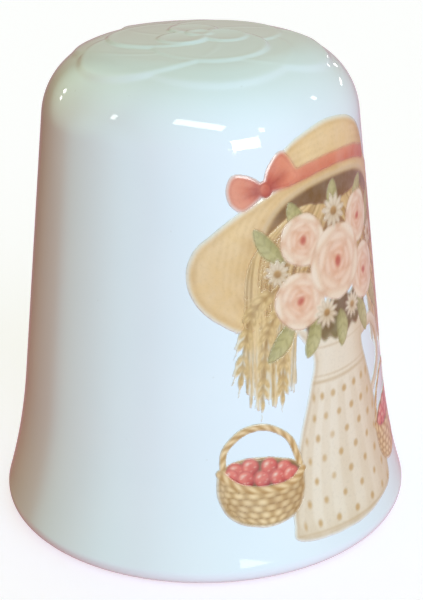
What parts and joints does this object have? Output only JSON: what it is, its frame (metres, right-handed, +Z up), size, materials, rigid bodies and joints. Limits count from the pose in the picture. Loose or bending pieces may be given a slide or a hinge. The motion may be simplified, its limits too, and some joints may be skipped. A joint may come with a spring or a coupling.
{
  "type": "thimble",
  "caption": "Flared glazed porcelain thimble with a moulded rose crown, a tapered finger cavity and a printed still life on one side.",
  "frame": {"origin": "centre of the ground foot ring, on the plane that the thimble stands on", "axes": "+Z up along the finger cavity's axis towards the rose crown; the middle of the print faces -Y"},
  "size_m": [0.0224, 0.0224, 0.026],
  "materials": {
    "bisque": "matte unglazed bone china, ground at the foot ring",
    "glaze": "glossy clear glaze over white porcelain",
    "ink_straw": "glossy fired-on decal, straw and wicker ochres",
    "ink_honey": "glossy fired-on decal, honey gold",
    "ink_pink": "glossy fired-on decal, coral pink",
    "ink_berry": "glossy fired-on decal, berry red",
    "ink_peach": "glossy fired-on decal, peach and cream",
    "ink_olive": "glossy fired-on decal, muted olive green",
    "ink_cream": "glossy fired-on decal, cream with ochre dots"
  },
  "bodies": {
    "root": {"porcelain_body": "bisque", "outer_glaze": "glaze", "inner_glaze": "glaze", "print_basket": "ink_straw", "print_berries": "ink_berry", "print_jug": "ink_cream", "print_blooms": "ink_peach", "print_leaves": "ink_olive", "print_wheat": "ink_honey", "print_ribbon": "ink_pink", "print_hat": "ink_straw"}
  },
  "joints": []
}
